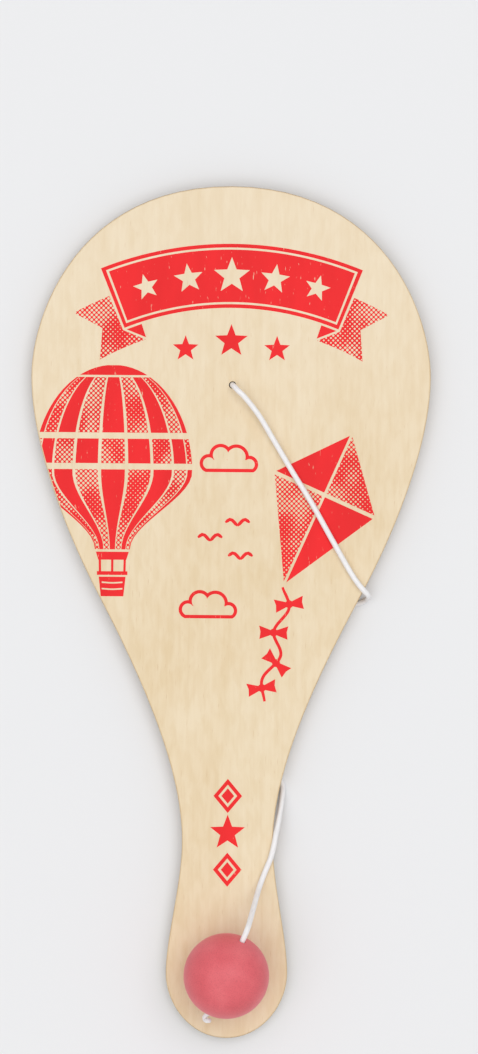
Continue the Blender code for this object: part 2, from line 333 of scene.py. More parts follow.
def glue_line(tree):
    """How near a point is to the two glued joints between the plies, each a line about 0.15 mm wide."""
    where = add(tree, "ShaderNodeSeparateXYZ", {0: add(tree, "ShaderNodeTexCoord").outputs["Object"]})
    middle = (CORE_Z + FRONT_Z) / 2
    off = add(tree, "ShaderNodeMath", {0: where.outputs["Z"], 1: middle}, operation="SUBTRACT")
    away = add(tree, "ShaderNodeMath", {0: off.outputs["Value"]}, operation="ABSOLUTE")
    part = add(tree, "ShaderNodeMath", {0: away.outputs["Value"], 1: FRONT_Z - CORE_Z}, operation="DIVIDE")
    stops = [(0.455, 0.0), (0.485, 0.8), (0.515, 0.8), (0.545, 0.0)]
    return add(tree, "ShaderNodeValToRGB", {0: part.outputs["Value"]}, stops=stops).outputs["Color"]


def birch_face(tree):
    """Rotary-cut birch: cream with soft mottles, faint streaks, short flecks, and painted light paling the
    head.
    """
    tones = [(0.30, "E3CBA2"), (0.52, "E8D1AB"), (0.72, "ECD9B7")]
    wood = add(tree, "ShaderNodeValToRGB", {0: grained(tree, 48, 120)}, stops=tones).outputs["Color"]
    # Broad mottle, long figure, short mottle and fibre: each one's share, its grain's size and its colours
    layers = (
        (0.28, (16, 30, 2.0, 0.5, 0.6), [(0.34, "E2C79C"), (0.66, "F0E0C4")]),
        (0.14, (6.5, 95, 3.0, 0.55, 0.35), [(0.36, "DDC397"), (0.62, "F0E0C5")]),
        (0.24, (2.4, 8.0, 2.0, 0.5, 0.4), [(0.36, "DABF91"), (0.64, "F1E1C4")]),
        (0.12, (0.9, 26, 3.0, 0.6), [(0.30, "D7BC90"), (0.60, "EDDDBF")]),
    )
    for share, grain, colours in layers:
        layer = add(tree, "ShaderNodeValToRGB", {0: grained(tree, *grain)}, stops=colours).outputs["Color"]
        wood = add(tree, "ShaderNodeMix", {0: share, 6: wood, 7: layer}, data_type="RGBA").outputs[2]
    where = add(tree, "ShaderNodeSeparateXYZ", {0: add(tree, "ShaderNodeTexCoord").outputs["Object"]})
    along = {0: where.outputs["Y"], 1: 1 / LENGTH, 2: 0.5}
    part = add(tree, "ShaderNodeMath", along, operation="MULTIPLY_ADD").outputs["Value"]
    # Flecks, and painted light paling the head: what says where each shows, how much it shows there, its
    # colour
    for shown, amount, colour in (
        (grained(tree, 0.42, 4.2, 1.0), [(0.68, 0.0), (0.78, 0.32)], "C79F66"),
        # Painted light: a paler wash that grows along the paddle towards the head's end
        (part, [(0.56, 0.0), (0.96, 0.29)], "F3E5CF"),
    ):
        share = add(tree, "ShaderNodeValToRGB", {0: shown}, stops=amount).outputs["Color"]
        wood = add(tree, "ShaderNodeMix", {0: share, 6: wood, 7: colour}, data_type="RGBA").outputs[2]
    return wood


def birch_edge(tree, facing):
    """The birch plies' cut edge: browner, finely streaked on the sides, end grain and painted shade across
    it.
    """
    across = add(tree, "ShaderNodeMath", {0: facing.outputs["Y"]}, operation="ABSOLUTE").outputs["Value"]
    stops = [(0.30, "BF9A68"), (0.52, "D5B686"), (0.72, "E3CBA2")]
    along_grain = add(tree, "ShaderNodeValToRGB", {0: grained(tree, 0.35, 11, 3.0, 0.6)}, stops=stops)
    # Across the grain: end grain's darker brown, made darker still as painted shade at the crown and
    # handle's end
    stops = [(0.34, "7E6344"), (0.52, "A1835B"), (0.70, "B79A70")]
    end_grain_and_shade = add(tree, "ShaderNodeValToRGB", {0: grained(tree, 0.30, 2, 2.0, 0.6)}, stops=stops)
    share = add(tree, "ShaderNodeValToRGB", {0: across}, stops=[(0.30, 0.0), (0.95, 1.0)]).outputs["Color"]
    grains = {0: share, 6: along_grain.outputs["Color"], 7: end_grain_and_shade.outputs["Color"]}
    edge = add(tree, "ShaderNodeMix", grains, data_type="RGBA").outputs[2]
    glued = {0: glue_line(tree), 6: edge, 7: GLUE}
    return add(tree, "ShaderNodeMix", glued, data_type="RGBA").outputs[2]


def birch_colour(tree):
    """The birch veneer's face, and its cut edge where the surface stands upright."""
    facing = add(tree, "ShaderNodeSeparateXYZ", {0: add(tree, "ShaderNodeTexCoord").outputs["Normal"]})
    level = add(tree, "ShaderNodeMath", {0: facing.outputs["Z"]}, operation="ABSOLUTE").outputs["Value"]
    stops = [(0.80, 1.0), (0.97, 0.25), (0.998, 0.0)]
    upright = add(tree, "ShaderNodeValToRGB", {0: level}, stops=stops).outputs["Color"]
    sides = {0: upright, 6: birch_face(tree), 7: birch_edge(tree, facing)}
    return add(tree, "ShaderNodeMix", sides, data_type="RGBA").outputs[2]


def birch_veneer():
    """Birch ply, sanded and sealed with a thin clear coat: pale and even, with a soft low shine."""
    mat, tree, surface = new_material("sanded_birch_veneer")
    tree.links.new(birch_colour(tree), surface.inputs["Base Color"])
    fibre = grained(tree, 0.9, 26, 3.0, 0.6)
    rough = add(tree, "ShaderNodeValToRGB", {0: fibre}, stops=[(0.30, 0.52), (0.65, 0.44)])
    tree.links.new(rough.outputs["Color"], surface.inputs["Roughness"])
    surface.inputs["IOR"].default_value = 1.50
    pores = {"Height": grained(tree, 0.5, 9, 2.0), "Strength": 0.25, "Distance": 0.00005}
    relief = add(tree, "ShaderNodeBump", pores)
    tree.links.new(relief.outputs["Normal"], surface.inputs["Normal"])
    return mat


def core_veneer():
    """The middle ply's sawn edge: browner, its grain across the paddle, a little scorched by the die."""
    mat, tree, surface = new_material("sawn_core_veneer")
    stops = [(0.28, "7A5836"), (0.50, "A07A50"), (0.74, "BD9A6C")]
    sawn = grained(tree, 6, 0.38, 3.0, 0.6)
    streaks = add(tree, "ShaderNodeValToRGB", {0: sawn}, stops=stops).outputs["Color"]
    stops = [(0.30, "8A6B4C"), (0.44, "FFFFFF")]
    pores = add(tree, "ShaderNodeValToRGB", {0: grained(tree, 0.22, 0.22, 1.0)}, stops=stops)
    both = {0: 1.0, 6: streaks, 7: pores.outputs["Color"]}
    pitted = add(tree, "ShaderNodeMix", both, data_type="RGBA", blend_type="MULTIPLY").outputs[2]
    wood = add(tree, "ShaderNodeMix", {0: 0.7, 6: streaks, 7: pitted}, data_type="RGBA").outputs[2]
    glued = {0: glue_line(tree), 6: wood, 7: GLUE}
    edge = add(tree, "ShaderNodeMix", glued, data_type="RGBA").outputs[2]
    tree.links.new(edge, surface.inputs["Base Color"])
    surface.inputs["Roughness"].default_value = 0.72
    saw_marks = {"Height": grained(tree, 4, 0.35, 2.0), "Strength": 0.5, "Distance": 0.0001}
    relief = add(tree, "ShaderNodeBump", saw_marks)
    tree.links.new(relief.outputs["Normal"], surface.inputs["Normal"])
    return mat


def halftone_screen(tree):
    """Where the ink lies on a halftone: all but rows of bare dots, which shrink away in places.

    The dots are 1.1 mm apart, coarser than real ones so that they show.
    """
    where = add(tree, "ShaderNodeTexCoord").outputs["Object"]
    turned = add(
        tree,
        "ShaderNodeMapping",
        {"Vector": where, "Rotation": (0, 0, math.radians(45)), "Scale": (DOTS_A_METRE, DOTS_A_METRE, 0)},
    )
    cells = add(
        tree,
        "ShaderNodeTexVoronoi",
        {"Vector": turned.outputs["Vector"], "Scale": 1.0, "Randomness": 0.0},
        voronoi_dimensions="2D",
    )
    sizes = [(0.36, 0.12), (0.60, 0.36)]
    size = add(tree, "ShaderNodeValToRGB", {0: grained(tree, 10, 12, 1.0)}, stops=sizes).outputs["Color"]
    past = add(tree, "ShaderNodeMath", {0: cells.outputs["Distance"], 1: size}, operation="SUBTRACT")
    inked = add(tree, "ShaderNodeValToRGB", {0: past.outputs["Value"]}, stops=[(0.0, 0.0), (0.05, 1.0)])
    return inked.outputs["Color"]


def screen_ink(name, dots):
    """Red screen ink: a thin flat film, solid or as a halftone, that the birch's grain breaks a little."""
    mat, tree, surface = new_material(name)
    reds = [(0.35, "E90A11"), (0.65, "F31118")]
    red = add(tree, "ShaderNodeValToRGB", {0: grained(tree, 9, 30, 2.0)}, stops=reds).outputs["Color"]
    wood = birch_colour(tree)
    taken = grained(tree, 0.5, 3.2, 2.0, 0.6)
    share = add(tree, "ShaderNodeValToRGB", {0: taken}, stops=[(0.20, 0.0), (0.31, 1.0)]).outputs["Color"]
    inked = add(tree, "ShaderNodeMix", {0: share, 6: wood, 7: red}, data_type="RGBA").outputs[2]
    if dots:
        screened = {0: halftone_screen(tree), 6: wood, 7: inked}
        inked = add(tree, "ShaderNodeMix", screened, data_type="RGBA").outputs[2]
    tree.links.new(inked, surface.inputs["Base Color"])
    surface.inputs["Roughness"].default_value = 0.5
    surface.inputs["IOR"].default_value = 1.38
    return mat


def white_elastic():
    """White rubber thread, extruded round and dusted with talc: soft, matt and a little uneven."""
    mat, tree, surface = new_material("extruded_white_elastic")
    # Flecks of talc, 14 to a turn and 450 to a metre: about 0.4 mm round the thread and 2.2 mm along it
    along = add(tree, "ShaderNodeUVMap", uv_map="along").outputs["UV"]
    flecks = {"Vector": along, "Scale": (14.0, 450.0, 1.0)}
    scaled = add(tree, "ShaderNodeMapping", flecks).outputs["Vector"]
    dust = add(tree, "ShaderNodeTexNoise", {"Vector": scaled, "Scale": 1.0, "Detail": 2.0}).outputs["Fac"]
    colour = add(tree, "ShaderNodeValToRGB", {0: dust}, stops=[(0.30, "EBE8E8"), (0.60, "F5F3F3")])
    tree.links.new(colour.outputs["Color"], surface.inputs["Base Color"])
    surface.inputs["Roughness"].default_value = 0.48
    surface.inputs["IOR"].default_value = 1.52
    relief = add(tree, "ShaderNodeBump", {"Height": dust, "Strength": 0.15, "Distance": 0.00003})
    tree.links.new(relief.outputs["Normal"], surface.inputs["Normal"])
    return mat


def red_rubber():
    """Moulded sponge rubber: a warm matt red, paler where it has bloomed, with the mould's fine tooth."""
    mat, tree, surface = new_material("moulded_red_rubber")
    # The bloom comes in patches of about 9 mm, and the tooth in grains of about 0.4 mm
    where = add(tree, "ShaderNodeTexCoord").outputs["Object"]
    patches = {"Vector": where, "Scale": 110.0, "Detail": 3.0, "Roughness": 0.55}
    bloom = add(tree, "ShaderNodeTexNoise", patches).outputs["Fac"]
    stops = [(0.30, "DC5B63"), (0.52, "E3636B"), (0.74, "E96F75")]
    colour = add(tree, "ShaderNodeValToRGB", {0: bloom}, stops=stops).outputs["Color"]
    grains = {"Vector": where, "Scale": 2600.0, "Detail": 2.0}
    tooth = add(tree, "ShaderNodeTexNoise", grains).outputs["Fac"]
    stops = [(0.30, "DDD0D1"), (0.52, "FFFFFF")]
    specks = add(tree, "ShaderNodeValToRGB", {0: tooth}, stops=stops).outputs["Color"]
    both = {0: 1.0, 6: colour, 7: specks}
    speckled = add(tree, "ShaderNodeMix", both, data_type="RGBA", blend_type="MULTIPLY").outputs[2]
    shown = add(tree, "ShaderNodeMix", {0: 0.45, 6: colour, 7: speckled}, data_type="RGBA").outputs[2]
    tree.links.new(shown, surface.inputs["Base Color"])
    surface.inputs["Roughness"].default_value = 0.5
    surface.inputs["IOR"].default_value = 1.52
    surface.inputs["Sheen Weight"].default_value = 0.25
    surface.inputs["Sheen Roughness"].default_value = 0.4
    surface.inputs["Sheen Tint"].default_value = linear("F3B7BA")
    relief = add(tree, "ShaderNodeBump", {"Height": tooth, "Strength": 0.35, "Distance": 0.00006})
    tree.links.new(relief.outputs["Normal"], surface.inputs["Normal"])
    return mat


def pale_floor():
    """A plain matt sheet in a pale grey."""
    mat, _, surface = new_material("pale_floor")
    surface.inputs["Base Color"].default_value = linear("EAEAEB")
    surface.inputs["Roughness"].default_value = 0.6
    return mat


# The elastic


def smooth(points, steps):
    """A smooth curve through the points, with so many steps from each to the next."""
    ends = [points[0] * 2 - points[1], *points, points[-1] * 2 - points[-2]]
    curve = []
    for before, a, b, after in zip(ends, ends[1:], ends[2:], ends[3:], strict=False):
        for k in range(steps):
            t = k / steps
            straight = 2 * a + (b - before) * t
            bend = (2 * before - 5 * a + 4 * b - after) * t**2
            twist = (3 * a - before - 3 * b + after) * t**3
            curve.append((straight + bend + twist) / 2)
    return [*curve, points[-1]]


def length(line):
    """How long a line is from its first point to its last."""
    return sum((b - a).length for a, b in zip(line, line[1:], strict=False))


def heading(line, k):
    """Which way a line goes at one of its points."""
    return (line[min(k + 1, len(line) - 1)] - line[max(k - 1, 0)]).normalized()


def spaced(line, step):
    """The line again, with its points so far apart and both its ends kept."""
    total = length(line)
    count = max(2, round(total / step))
    gap = total / count
    made, gone, target = [line[0]], 0.0, gap
    for a, b in zip(line, line[1:], strict=False):
        span = (b - a).length
        while span > 0 and gone + span >= target - 1e-12 and len(made) < count:
            made.append(a.lerp(b, (target - gone) / span))
            target += gap
        gone += span
    return [*made, line[-1]]


def framed(line):
    """Each point of a line, with its way along, a side that doesn't twist, and how far along it is."""
    rows = []
    side = (line[1] - line[0]).orthogonal()
    gone = 0.0
    for k, at in enumerate(line):
        along = heading(line, k)
        side = (side - along * side.dot(along)).normalized()
        if k:
            gone += (at - line[k - 1]).length
        rows.append((at, along, side.copy(), gone))
    return rows


def tube(name, rows, radius, sides=20, low=None, goes_on=(False, False)):
    """A round closed tube along framed points, with a UV map of turns and metres, flat where it lies.

    An end is rounded off, unless another tube goes on from it.
    """
    end_long = radius * 0.35
    rings = [(at, side, along.cross(side), radius, gone) for at, along, side, gone in rows]
    for meets_another, end, out in zip(goes_on, (0, -1), (-1, 1), strict=True):
        at, a, b, _, gone = rings[end]
        steps = () if meets_another else (30, 60, 80)
        cap = [
            (at + rows[end][1] * (out * end_long * math.sin(t)), a, b, radius * math.cos(t), gone)
            for t in map(math.radians, steps)
        ]
        rings = [*reversed(cap), *rings] if end == 0 else [*rings, *cap]
    work = bmesh.new()
    layer = work.loops.layers.uv.new("along")
    made = []
    for at, a, b, r, gone in rings:
        ring = []
        for k in range(sides):
            turn = 2 * math.pi * k / sides
            point = at + a * (r * math.cos(turn)) + b * (r * math.sin(turn))
            if low is not None:
                point.z = max(point.z, low)
            ring.append(work.verts.new(point))
        made.append((ring, gone))
    for (first, gone), (second, after) in zip(made, made[1:], strict=False):
        for k in range(sides):
            n = (k + 1) % sides
            face = work.faces.new((first[k], first[n], second[n], second[k]))
            corners = ((k, gone), (k + 1, gone), (k + 1, after), (k, after))
            for loop, (turned, metres) in zip(face.loops, corners, strict=True):
                loop[layer].uv = (turned / sides, metres)
    work.faces.new(reversed(made[0][0]))
    work.faces.new(made[-1][0])
    mesh = bpy.data.meshes.new(name)
    work.to_mesh(mesh)
    work.free()
    obj = bpy.data.objects.new(name, mesh)
    bpy.context.scene.collection.objects.link(obj)
    return obj


def rounded(before, corner, after, radius):
    """A bend of this radius in place of a corner."""
    first, second = (corner - before).normalized(), (after - corner).normalized()
    turn = first.angle(second)
    back, reach = radius * math.tan(turn / 2), radius * 4 / 3 * math.tan(turn / 4)
    low, high = corner - first * back, corner + second * back
    pull_low, pull_high = low + first * reach, high - second * reach
    points = []
    for k in range(17):
        t, s = k / 16, 1 - k / 16
        points.append(low * s**3 + pull_low * 3 * s * s * t + pull_high * 3 * s * t * t + high * t**3)
    return points


def elastic_line():
    """The middle of the elastic, from under its hole to where it ends in the ball."""
    points = [place(*HOLE_AT, CORE_Z), place(*HOLE_AT, FACE_Z + GAP)]
    points += [place(x, y, CORD_ON_FACE_Z + h) for x, y, h in FACE_ROUTE]
    points += [place(x, y, LOOP_Z + h) for x, y, h in LOOP_ROUTE]
    points += [place(x, y, CORD_ON_FACE_Z + h) for x, y, h in NECK_ROUTE]
    along = (LIFT_PIVOT - RIM_PIVOT).normalized()
    start = LIFT_PIVOT + along * (CORD_R + GAP)
    end = BALL_MOUTH + BORE * (END_OUT + GAP)
    low, high = start + along * LEAD_CORNERS[0], end + BORE * LEAD_CORNERS[1]
    wrapped = smooth([*points, RIM_PIVOT, LIFT_PIVOT], 24)
    up, down = rounded(start, low, high, LEAD_BENDS[0]), rounded(low, high, end, LEAD_BENDS[1])
    return spaced([*wrapped, *up, *down, end, SINK_FLOOR], 0.0006)


def nearest(line, point):
    """Which of a line's points is nearest to this one."""
    return min(range(len(line)), key=lambda k: (line[k] - point).length)


def elastic(mat):
    """The elastic in three tubes, with the middle lines of the first and the last.

    They meet between its two pivots and a little past the second.
    """
    rows = framed(elastic_line())
    line = [row[0] for row in rows]
    turn = nearest(line, RIM_PIVOT.lerp(LIFT_PIVOT, 0.5))
    along = (LIFT_PIVOT - RIM_PIVOT).normalized()
    rise = nearest(line, LIFT_PIVOT + along * 0.0055)
    wrapped = tube("elastic_wrapped_round_paddle", rows[: turn + 1], CORD_R, low=0.0, goes_on=(False, True))
    over_rim = tube("elastic_at_neck", rows[turn : rise + 1], CORD_R, goes_on=(True, True))
    free = tube("elastic_to_ball", rows[rise:], CORD_R, goes_on=(True, False))
    for piece in (wrapped, over_rim, free):
        dress(piece, mat, 60)
    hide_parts("elastic_front_run", "elastic_back_loop")
    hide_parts("elastic_rim_bend")
    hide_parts("elastic_lead", "elastic_ball_end")
    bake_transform(wrapped)
    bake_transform(over_rim)
    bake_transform(free)
    return wrapped, over_rim, free, line[: turn + 1], line[rise:]


def overhand(centre, axis, wide, tall, thick):
    """The middle line of a tight overhand knot: three crossings round the axis, so wide and so tall."""
    up = axis.normalized()
    side = up.orthogonal().normalized()
    other = up.cross(side)
    reach = (wide / 2 - thick) / 3
    rise = tall / 2 - thick
    line = []
    for k in range(97):
        t = 2 * math.pi * k / 96
        flat = side * (math.sin(t) + 2 * math.sin(2 * t)) + other * (math.cos(t) - 2 * math.cos(2 * t))
        line.append(centre + flat * reach - up * (rise * math.sin(3 * t)))
    return line


def tied_knot(name, centre, axis, tail, mat, node, body):
    """A stopper knot drawn tight, with its short tail."""
    strand = overhand(centre, axis, KNOT_WIDE, KNOT_TALL, KNOT_STRAND_R)
    loop = tube(name, framed(strand), KNOT_STRAND_R, 14)
    end = tube(name + "_tail", framed(spaced(smooth(tail, 12), 0.0005)), KNOT_TAIL_R, 16, low=0.0)
    take(loop)
    end.select_set(True)
    bpy.ops.object.join()
    dress(loop, mat, 60)
    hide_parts(node)
    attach(loop, body)
    return loop


def knots(mat):
    """One knot behind the paddle's hole, and one in the ball's sink, whose tail shows at the lower left."""
    hole = place(*HOLE_AT, 0.0)
    behind = tied_knot(
        "knot_behind_hole",
        place(*HOLE_AT, KNOT_BEHIND_Z),
        Vector((0, 0, 1)),
        [
            hole + Vector((0.0006, 0.0004, 0.0015)),
            hole + Vector((-0.0016, 0.0012, 0.0012)),
            hole + Vector((-0.0052, 0.0021, 0.0009)),
        ],
        mat,
        "anchor_knot",
        "paddle",
    )
    knot_at = BALL_CENTRE - BORE * KNOT_OFF_CENTRE
    ball_end = tied_knot(
        "knot_in_ball",
        knot_at,
        BORE,
        [
            knot_at,
            knot_at - BORE * 0.0024 + Vector((-0.0002, 0.0, -0.0001)),
            knot_at + Vector((-0.0025, -0.0036, -0.00205)),
            knot_at + Vector((-0.0021, -0.0047, -0.00185)),
            knot_at + Vector((-0.0009, -0.0046, -0.00045)),
        ],
        mat,
        "ball_knot",
        "elastic_end",
    )
    return behind, ball_end


# The ball


def widen(share):
    """In edit mode, makes what is selected so many times as wide about the ball's bore."""
    bpy.ops.transform.resize(value=(share, share, 1), center_override=(0, 0, 0))


def roll_in(ring_r, opened_r, steps):
    """In edit mode, opens the selected ring and rounds its edge over, by steps of width and of height."""
    widen(opened_r / ring_r)
    for share, rise in steps:
        bpy.ops.mesh.extrude_region_move()
        bpy.ops.transform.translate(value=(0, 0, rise))
        widen(share)


def draw_to(ball, height):
    """In edit mode, draws the selected ring along the bore to a height, and says how wide it is."""
    bpy.ops.mesh.extrude_region_move()
    ring = [v.co for v in bmesh.from_edit_mesh(ball.data).verts if v.select]
    widest = max(at.xy.length for at in ring)
    bpy.ops.transform.translate(value=(0, 0, height - min(at.z for at in ring)))
    return widest


def moulded_ball(mat):
    """A ball turned about its bore: a mouth for the elastic, a sink for its knot, and the mould's line."""
    bpy.ops.object.select_all(action="DESELECT")
    rings = 48
    ring_turn = math.pi / rings
    bpy.ops.mesh.primitive_uv_sphere_add(segments=96, ring_count=rings, radius=BALL_R, location=(0, 0, 0))
    ball = added("rubber_ball")
    bpy.ops.object.mode_set(mode="EDIT")
    # The rings that become the mouth's edge and the sink's, the first and the third from the ball's ends
    mouth_r = BALL_R * math.sin(ring_turn)
    mouth_z = BALL_R * math.cos(ring_turn)
    sink_r = BALL_R * math.sin(3 * ring_turn)
    sink_z = -BALL_R * math.cos(3 * ring_turn)
    floor_z = -(BALL_R - SINK_DEEP)
    rim = 0.0004
    pick("verts", lambda v: v.co.z > BALL_R - 1e-6 or v.co.z < sink_z - 1e-5)
    bpy.ops.mesh.delete(type="VERT")
    # The mouth: its ring is opened a little, rounded over and drawn down the bore
    pick("verts", lambda v: v.co.z > mouth_z - 1e-5)
    roll_in(mouth_r, CORD_R + rim, ((0.87, -0.00010), (0.90, -0.00026)))
    bore_wide = draw_to(ball, floor_z)
    # The sink: rounded over the same way, straight down to its floor, and the floor closed on the bore
    pick("verts", lambda v: abs(v.co.z - sink_z) < 1e-5 and abs(v.co.xy.length - sink_r) < 1e-5)
    roll_in(sink_r, SINK_R + rim, ((0.95, 0.00010), (0.93, 0.00025)))
    sink_wide = draw_to(ball, floor_z)
    bpy.ops.mesh.extrude_region_move()
    widen(bore_wide / sink_wide)
    # The mould's line: the middle loop is split in five, and the middle one stands out a little
    spread, proud = 0.00044, 0.00006
    pick("edges", lambda e: all(abs(v.co.z) < 1e-6 and v.co.xy.length > BALL_R * 0.9 for v in e.verts))
    bpy.ops.mesh.bevel(offset=spread, segments=4)
    pick("verts", lambda v: abs(v.co.z) < 1e-6 and v.co.xy.length > BALL_R * 0.9)
    widen((BALL_R + proud) / BALL_R)
    bpy.ops.object.mode_set(mode="OBJECT")
    ball.rotation_euler = BORE.to_track_quat("Z", "Y").to_euler()
    ball.location = BALL_CENTRE
    settle(ball)
    dress(ball, mat, 40)
    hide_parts("ball")
    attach(ball, "ball")


# The print

# How deep the ink's film sits in the wood, how tall it is, and how tall a shape is before the film cuts it
INK_SUNK = 0.00001
INK_TALL = 0.00004
SHAPE_TALL = 0.001

# How far from the handle's end the ribbon's arch has its centre, in millimetres
ARCH_AT = 146


def spot(x_mm, y_mm):
    """A point of the artwork, in millimetres from the axis and from the handle's end."""
    return Vector((x_mm / 1000, y_mm / 1000 - LENGTH / 2, 0.0))


def drawn_up(start, tall):
    """In edit mode, moves the flat mesh to where it starts, draws it up so tall and leaves edit mode."""
    bpy.ops.mesh.select_all(action="SELECT")
    bpy.ops.transform.translate(value=(0, 0, start))
    bpy.ops.mesh.extrude_region_move()
    bpy.ops.transform.translate(value=(0, 0, tall))
    bpy.ops.mesh.select_all(action="SELECT")
    bpy.ops.mesh.normals_make_consistent(inside=False)
    bpy.ops.object.mode_set(mode="OBJECT")


def printed_face(front_ply):
    """A film of ink over the flat face inside the sanded rim, with the elastic's hole in it."""
    film = bpy.data.objects.new("printed_face", front_ply.data.copy())
    bpy.context.scene.collection.objects.link(film)
    take(film)
    bpy.ops.object.mode_set(mode="EDIT")
    bpy.ops.mesh.select_all(action="SELECT")
    bpy.ops.mesh.remove_doubles(threshold=1e-6)
    pick("faces", lambda f: f.normal.z < 0.999 or f.calc_center_median().z < FACE_Z - 1e-5)
    bpy.ops.mesh.delete(type="FACE")
    drawn_up(-INK_SUNK, INK_TALL)
    return film


def thick(obj):
    """Gives a flat shape some height on both sides of the face, to be cut by the film."""
    settle(obj)
    bpy.ops.object.mode_set(mode="EDIT")
    drawn_up(FACE_Z - SHAPE_TALL / 2, SHAPE_TALL)
    return obj


def cut_by(obj, other, how):
    """Joins the other shape to this one, or cuts this one by it."""
    take(obj)
    cut = obj.modifiers.new("cut", "BOOLEAN")
    cut.operation = how
    cut.solver = "EXACT"
    cut.use_self = how != "UNION"
    cut.object = other
    bpy.ops.object.modifier_apply(modifier="cut")


def taller(shape, times):
    """Makes a shape so many times as tall, as much above the face as below it."""
    take(shape)
    bpy.ops.object.mode_set(mode="EDIT")
    bpy.ops.mesh.select_all(action="SELECT")
    bpy.ops.transform.resize(value=(1, 1, times), center_override=(0, 0, FACE_Z))
    bpy.ops.object.mode_set(mode="OBJECT")


def merged(shapes):
    """The shapes as one, where they meet or overlap. Each is a little taller than the one before."""
    whole = shapes[0]
    for k, shape in enumerate(shapes[1:], 1):
        taller(shape, 1 + 0.03 * k)
        cut_by(whole, shape, "UNION")
        bpy.data.objects.remove(shape)
    return whole


def less(shape, cutters):
    """The shape with the cutters taken out of it. They reach a little past it above and below."""
    for cutter in cutters:
        taller(cutter, 4)
        cut_by(shape, cutter, "DIFFERENCE")
        bpy.data.objects.remove(cutter)
    return shape


def printed(name, shapes, film, ink):
    """The shapes, none over another, in one piece of ink film on the face."""
    piece = shapes[0]
    take(piece)
    for shape in shapes[1:]:
        shape.select_set(True)
    if len(shapes) > 1:
        bpy.ops.object.join()
    piece.name = name
    cut_by(piece, film, "INTERSECT")
    settle(piece, place_it=False)
    dress(piece, ink, 30)
    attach(piece, "paddle")


def arched(obj, centre, radius):
    """Bends a flat shape upwards in an arch about a centre below it."""
    for v in obj.data.vertices:
        turn = v.co.x / radius
        reach = radius + v.co.y
        v.co.x, v.co.y = centre.x + reach * math.sin(turn), centre.y + reach * math.cos(turn)


def flat_shape(name, corners, radius, where=(0, 0, 0), turn=0.0):
    """A flat shape with so many even corners, turned by so many degrees."""
    bpy.ops.object.select_all(action="DESELECT")
    bpy.ops.mesh.primitive_circle_add(
        vertices=corners,
        radius=radius,
        fill_type="NGON",
        location=where,
        rotation=(0, 0, math.radians(turn)),
    )
    return added(name)


def panel(points):
    """A flat panel whose corners are given in millimetres, in order."""
    made = flat_shape("panel", len(points), 0.01)
    for v, point in zip(made.data.vertices, points, strict=True):
        v.co = spot(*point)
    made.data.update()
    return thick(made)


def star(where, radius, turn=0.0):
    """A five-pointed star: a ring of ten corners, every other one drawn in."""
    inner = 0.42
    made = flat_shape("star", 10, radius, where, turn)
    bpy.ops.object.mode_set(mode="EDIT")
    pick("verts", lambda v: v.index % 2 == 1)
    bpy.ops.transform.resize(value=(inner, inner, 1), center_override=where)
    bpy.ops.object.mode_set(mode="OBJECT")
    return thick(made)


def disc(where, radius):
    """A round shape."""
    return thick(flat_shape("disc", 48, radius, where))


def lozenge(where, wide, tall):
    """A lozenge so wide and so tall from corner to corner."""
    made = flat_shape("lozenge", 4, 0.5, where)
    made.scale = (wide, tall, 1)
    return thick(made)


def stroke(points, wide, taper=0.35):
    """A brush stroke through points in millimetres: full in the middle and thinner at its ends."""
    line = spaced(smooth([spot(*p) for p in points], 10), 0.0008)
    work = bmesh.new()
    rows = []
    for k, at in enumerate(line):
        along = heading(line, k)
        side = Vector((-along.y, along.x, 0))
        share = taper + (1 - taper) * min(1.0, 4 * math.sin(math.pi * k / (len(line) - 1)))
        half = wide / 2000 * share
        rows.append((work.verts.new(at + side * half), work.verts.new(at - side * half)))
    for (a, b), (c, d) in zip(rows, rows[1:], strict=False):
        work.faces.new((a, b, d, c))
    mesh = bpy.data.meshes.new("stroke")
    work.to_mesh(mesh)
    work.free()
    made = bpy.data.objects.new("stroke", mesh)
    bpy.context.scene.collection.objects.link(made)
    return thick(made)


def grid(columns, rows):
    """A flat grid, one across and one up, to be shaped."""
    bpy.ops.object.select_all(action="DESELECT")
    cuts = {"x_subdivisions": columns, "y_subdivisions": rows}
    bpy.ops.mesh.primitive_grid_add(size=1.0, location=(0, 0, 0), **cuts)
    return added("grid")


def ribbon_middle(wide, tall, centre, radius):
    """The ribbon's arched middle, with an unprinted line inside its edge and five unprinted stars."""
    margin, line = 0.0012, 0.0007
    middle = grid(32, 1)
    bpy.ops.object.mode_set(mode="EDIT")
    pick("faces", lambda f: True)
    bpy.ops.transform.resize(value=(wide, tall, 1), center_override=(0, 0, 0))
    bpy.ops.mesh.inset(thickness=margin, use_boundary=True)
    bpy.ops.mesh.hide(unselected=True)
    bpy.ops.mesh.inset(thickness=line, use_boundary=True)
    bpy.ops.mesh.select_all(action="INVERT")
    bpy.ops.mesh.delete(type="FACE")
    bpy.ops.mesh.reveal(select=False)
    bpy.ops.object.mode_set(mode="OBJECT")
    arched(middle, centre, radius)
    thick(middle)
    stars = []
    apart = 0.0142
    for step, size in ((-2, 0.0044), (-1, 0.0050), (0, 0.0062), (1, 0.0050), (2, 0.0044)):
        turn = step * apart / radius
        where = centre + Vector((radius * math.sin(turn), radius * math.cos(turn), 0))
        stars.append(star(where, size, -math.degrees(turn)))
    return less(middle, stars)


